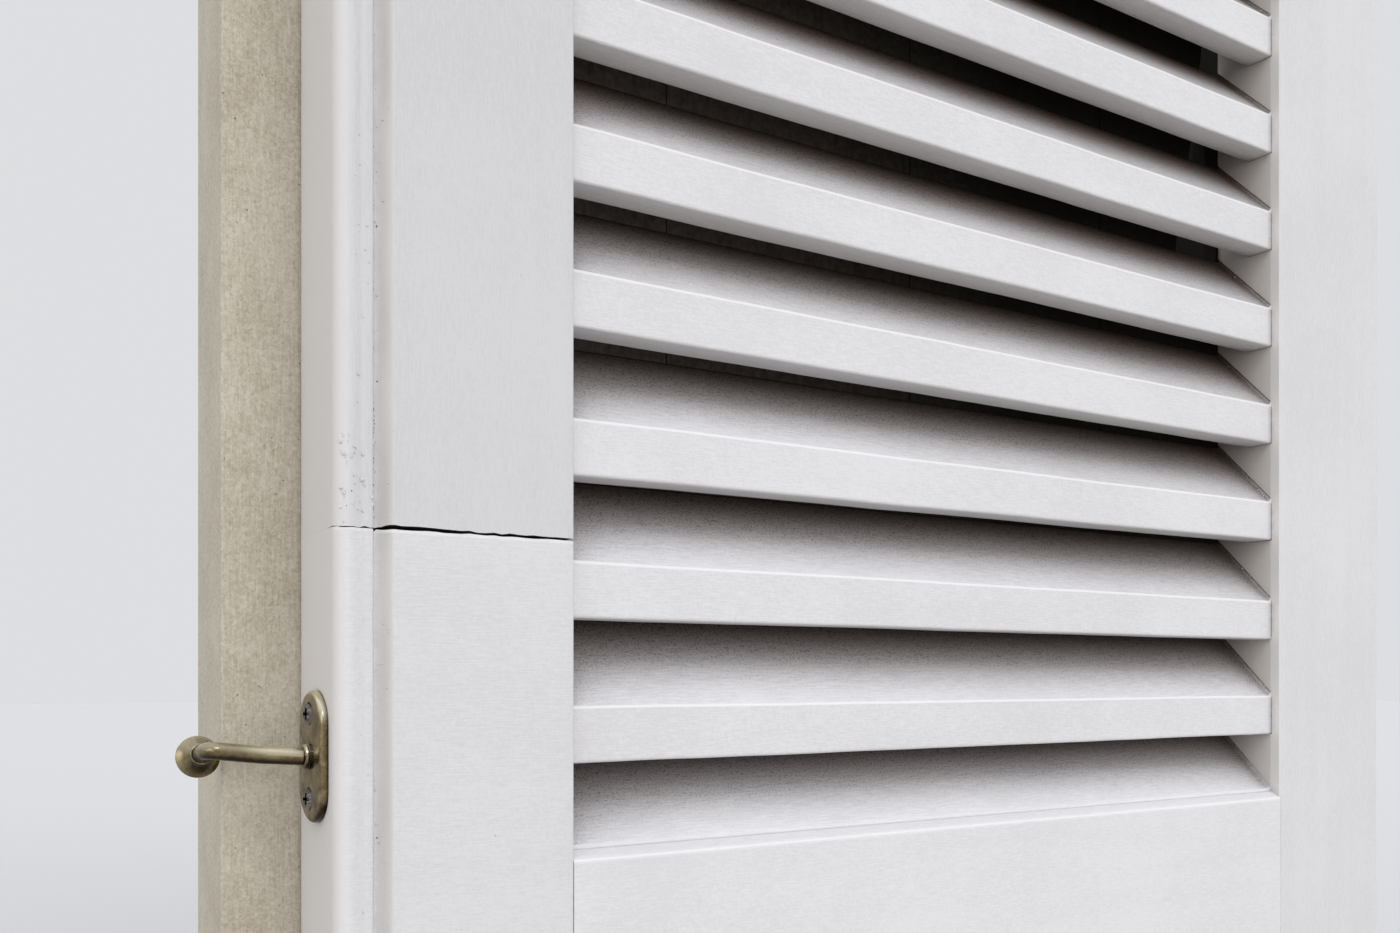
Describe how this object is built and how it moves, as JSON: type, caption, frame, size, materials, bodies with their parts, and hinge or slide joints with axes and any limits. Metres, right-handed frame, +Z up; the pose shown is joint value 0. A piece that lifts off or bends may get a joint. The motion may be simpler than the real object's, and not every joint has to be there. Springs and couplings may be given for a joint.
{
  "type": "louvred shutter",
  "caption": "Painted timber shutter leaf with fixed louvres over backing boards, hung on lift-off pintle hinges in front of its own timber frame, with a brass pull on its free edge.",
  "frame": {"origin": "centre of the four wall fixing holes, on the plane of the frame's back", "axes": "+X to the right seen from outside, +Y into the wall, +Z up"},
  "size_m": [0.6533, 0.0895, 1.1924],
  "materials": {
    "leaf_paint": "brushed satin paint, cool white",
    "board_timber": "thinly painted, weathered and dusty",
    "tongue_timber": "bare planed timber",
    "frame_paint": "satin paint, warm stone",
    "aged_brass": "aged, dull with rubbed highlights",
    "screw_steel": "bright plated",
    "painted_iron": "forged, black paint",
    "washer_brass": "plain turned"
  },
  "bodies": {
    "frame": {"frame_head": "frame_paint", "frame_left_jamb": "frame_paint", "frame_right_jamb": "frame_paint", "frame_sill": "frame_paint", "pintle_lower": "painted_iron", "pintle_screws": "screw_steel", "pintle_upper": "painted_iron", "washer_lower": "washer_brass", "washer_upper": "washer_brass"},
    "leaf": {"backing_board_1": "board_timber", "backing_board_2": "board_timber", "backing_board_3": "board_timber", "backing_board_4": "board_timber", "bottom_rail": "leaf_paint", "knuckle_lower": "painted_iron", "knuckle_screws": "screw_steel", "knuckle_upper": "painted_iron", "left_splice_tongue": "tongue_timber", "left_stile_foot": "leaf_paint", "left_stile_upper": "leaf_paint", "pull_knob": "aged_brass", "pull_plate": "aged_brass", "pull_rod": "aged_brass", "pull_screws": "screw_steel", "right_splice_tongue": "tongue_timber", "right_stile_foot": "leaf_paint", "right_stile_upper": "leaf_paint", "slat_01": "leaf_paint", "slat_02": "leaf_paint", "slat_03": "leaf_paint", "slat_04": "leaf_paint", "slat_05": "leaf_paint", "slat_06": "leaf_paint", "slat_07": "leaf_paint", "slat_08": "leaf_paint", "slat_09": "leaf_paint", "slat_10": "leaf_paint", "slat_11": "leaf_paint", "slat_12": "leaf_paint", "slat_13": "leaf_paint", "slat_14": "leaf_paint", "slat_15": "leaf_paint", "slat_16": "leaf_paint", "slat_17": "leaf_paint", "slat_18": "leaf_paint", "top_rail": "leaf_paint"}
  },
  "joints": [
    {"name": "leaf_hinge", "type": "hinge", "parent": "frame", "child": "leaf", "pos_m": [0.2845, -0.068, 0], "axis": [0, 0, 1], "range_deg": [0, 175]}
  ]
}
